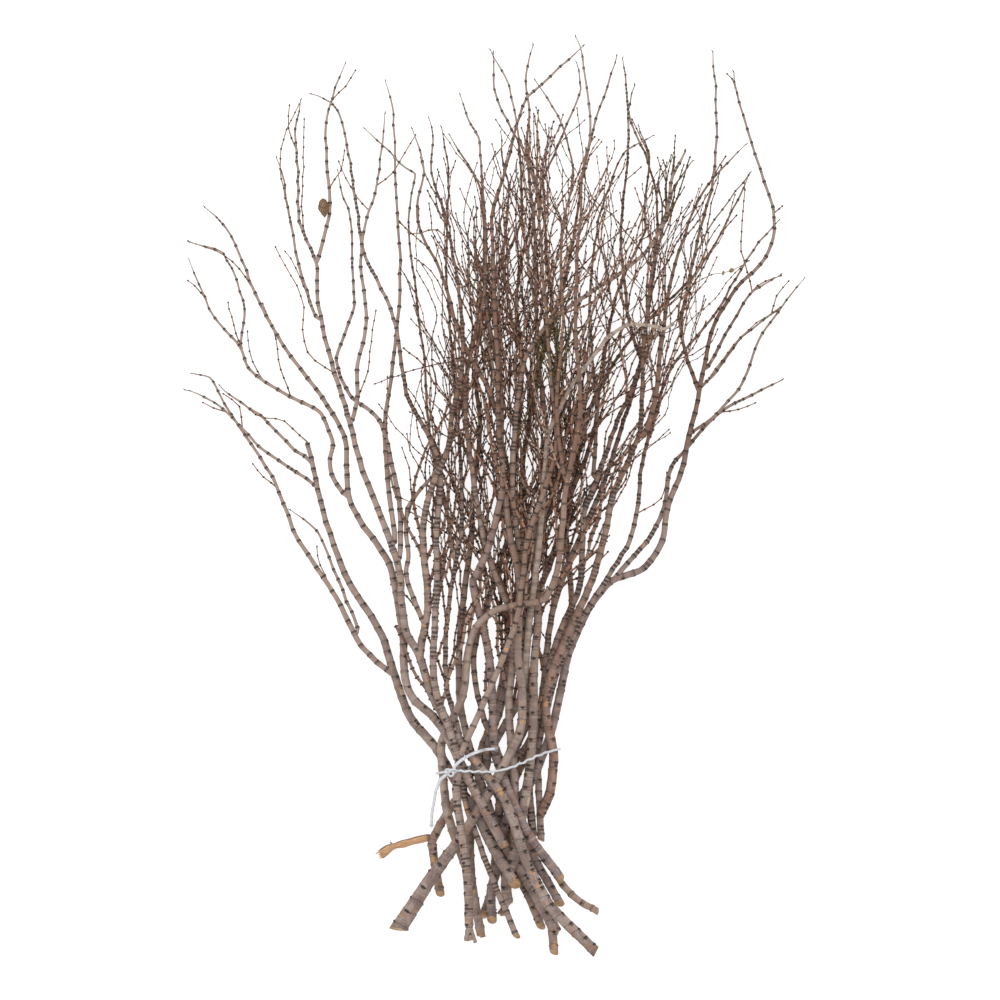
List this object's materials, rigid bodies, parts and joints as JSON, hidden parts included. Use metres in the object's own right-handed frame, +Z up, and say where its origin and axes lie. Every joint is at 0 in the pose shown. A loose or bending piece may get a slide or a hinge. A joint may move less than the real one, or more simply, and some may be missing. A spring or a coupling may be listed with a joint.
{
  "type": "bundle of twigs",
  "caption": "Bundle of bare ringed branches that fan out into fine twigs, cut at the butts and tied low down with one turn of white string, lying flat.",
  "frame": {"origin": "middle of the bundle's footprint, on the surface that it lies on, without the two loose string tails", "axes": "+Y from the cut butts towards the fine tips, +X to the right seen from above, +Z up"},
  "size_m": [0.7498, 1.103, 0.2585],
  "materials": {
    "bark": "matte, grey-brown with dark rings",
    "bare_wood": "matte, peeled orange-tan wood",
    "string": "soft satin white"
  },
  "bodies": {
    "root": {"stem_outer_left": "bark", "stem_left_arch": "bark", "stem_left_main": "bark", "stem_hooked": "bark", "stem_crossing": "bark", "stem_grey_left": "bark", "stem_purple": "bark", "stem_thick": "bark", "stem_centre": "bark", "stem_red": "bark", "stem_outer_right": "bark", "stem_right_arch": "bark", "stem_banded": "bark", "stem_right_inner": "bark", "stem_slim_grey": "bark", "stem_dark_brown": "bark", "stem_back_centre": "bark", "stem_back_right": "bark", "stem_torn": "bark", "stem_barkless": "bark", "stem_diagonal": "bark", "stem_low_right": "bark", "stem_low_centre": "bark", "fork_outer_left_upper": "bark", "fork_outer_left_middle": "bark", "fork_outer_left_lower": "bark", "fork_outer_left_twin": "bark", "fork_left_arch_outer": "bark", "fork_left_arch_upper": "bark", "fork_left_main_right": "bark", "fork_left_main_tall": "bark", "fork_left_main_inner": "bark", "fork_left_main_outer": "bark", "fork_left_main_long": "bark", "fork_left_main_banded": "bark", "fork_left_main_low": "bark", "fork_hooked_right": "bark", "fork_red_right": "bark", "fork_outer_right_low": "bark", "fork_outer_right_tip": "bark", "fork_outer_right_thin": "bark", "fork_outer_right_mid": "bark", "fork_outer_right_tall": "bark", "fork_crossing_left": "bark", "fork_thick_left": "bark", "fork_banded_left": "bark", "fork_slim_left": "bark", "fork_centre_left": "bark", "fork_torn_stub": "bare_wood", "string_loop": "string", "string_knot": "string", "string_tail_front": "string", "string_tail_left": "string"}
  },
  "joints": []
}
